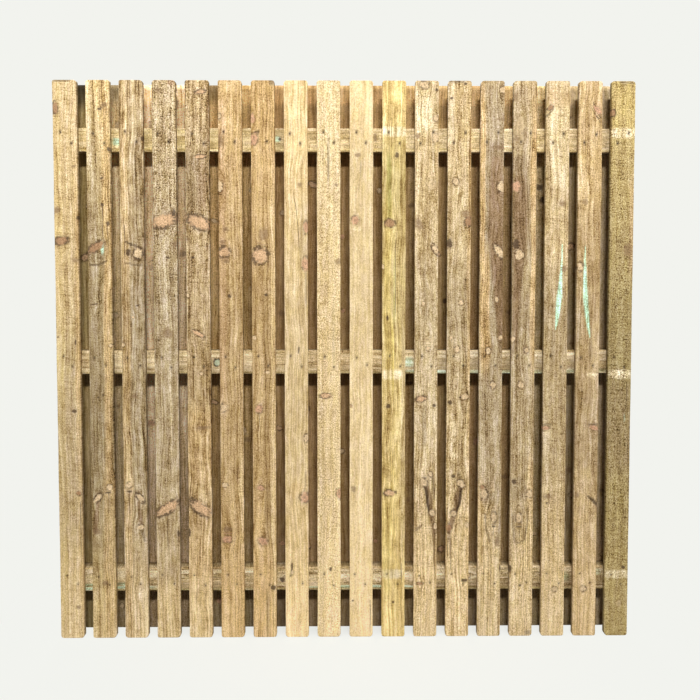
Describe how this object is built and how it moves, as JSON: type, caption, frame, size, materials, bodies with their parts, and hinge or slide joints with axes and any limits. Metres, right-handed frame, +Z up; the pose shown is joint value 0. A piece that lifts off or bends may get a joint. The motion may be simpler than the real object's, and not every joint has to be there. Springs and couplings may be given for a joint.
{
  "type": "paling fence panel",
  "caption": "Double-sided timber fence panel: upright pales nailed to both faces of three horizontal rails, the back pales behind the gaps of the front ones.",
  "frame": {"origin": "on the ground line, at the middle of the panel's width and depth", "axes": "+X along the fence, to the right seen from the front; +Y from the front face to the back; +Z up"},
  "size_m": [1.83, 0.07, 1.78],
  "materials": {
    "front_pale_timber": "rough-sawn treated softwood, bare",
    "back_pale_timber": "rough-sawn treated softwood, bare",
    "rail_timber": "rough-sawn treated softwood, bare",
    "nail_steel": "dull, sunk below the face"
  },
  "bodies": {
    "root": {"front_pale_01": "front_pale_timber", "front_pale_02": "front_pale_timber", "front_pale_03": "front_pale_timber", "front_pale_04": "front_pale_timber", "front_pale_05": "front_pale_timber", "front_pale_06": "front_pale_timber", "front_pale_07": "front_pale_timber", "front_pale_08": "front_pale_timber", "front_pale_09": "front_pale_timber", "front_pale_10": "front_pale_timber", "front_pale_11": "front_pale_timber", "front_pale_12": "front_pale_timber", "front_pale_13": "front_pale_timber", "front_pale_14": "front_pale_timber", "front_pale_15": "front_pale_timber", "front_pale_16": "front_pale_timber", "front_pale_17": "front_pale_timber", "front_pale_18": "front_pale_timber", "back_pale_01": "back_pale_timber", "back_pale_02": "back_pale_timber", "back_pale_03": "back_pale_timber", "back_pale_04": "back_pale_timber", "back_pale_05": "back_pale_timber", "back_pale_06": "back_pale_timber", "back_pale_07": "back_pale_timber", "back_pale_08": "back_pale_timber", "back_pale_09": "back_pale_timber", "back_pale_10": "back_pale_timber", "back_pale_11": "back_pale_timber", "back_pale_12": "back_pale_timber", "back_pale_13": "back_pale_timber", "back_pale_14": "back_pale_timber", "back_pale_15": "back_pale_timber", "back_pale_16": "back_pale_timber", "back_pale_17": "back_pale_timber", "top_rail": "rail_timber", "middle_rail": "rail_timber", "bottom_rail": "rail_timber", "front_nails": "nail_steel", "back_nails": "nail_steel"}
  },
  "joints": []
}
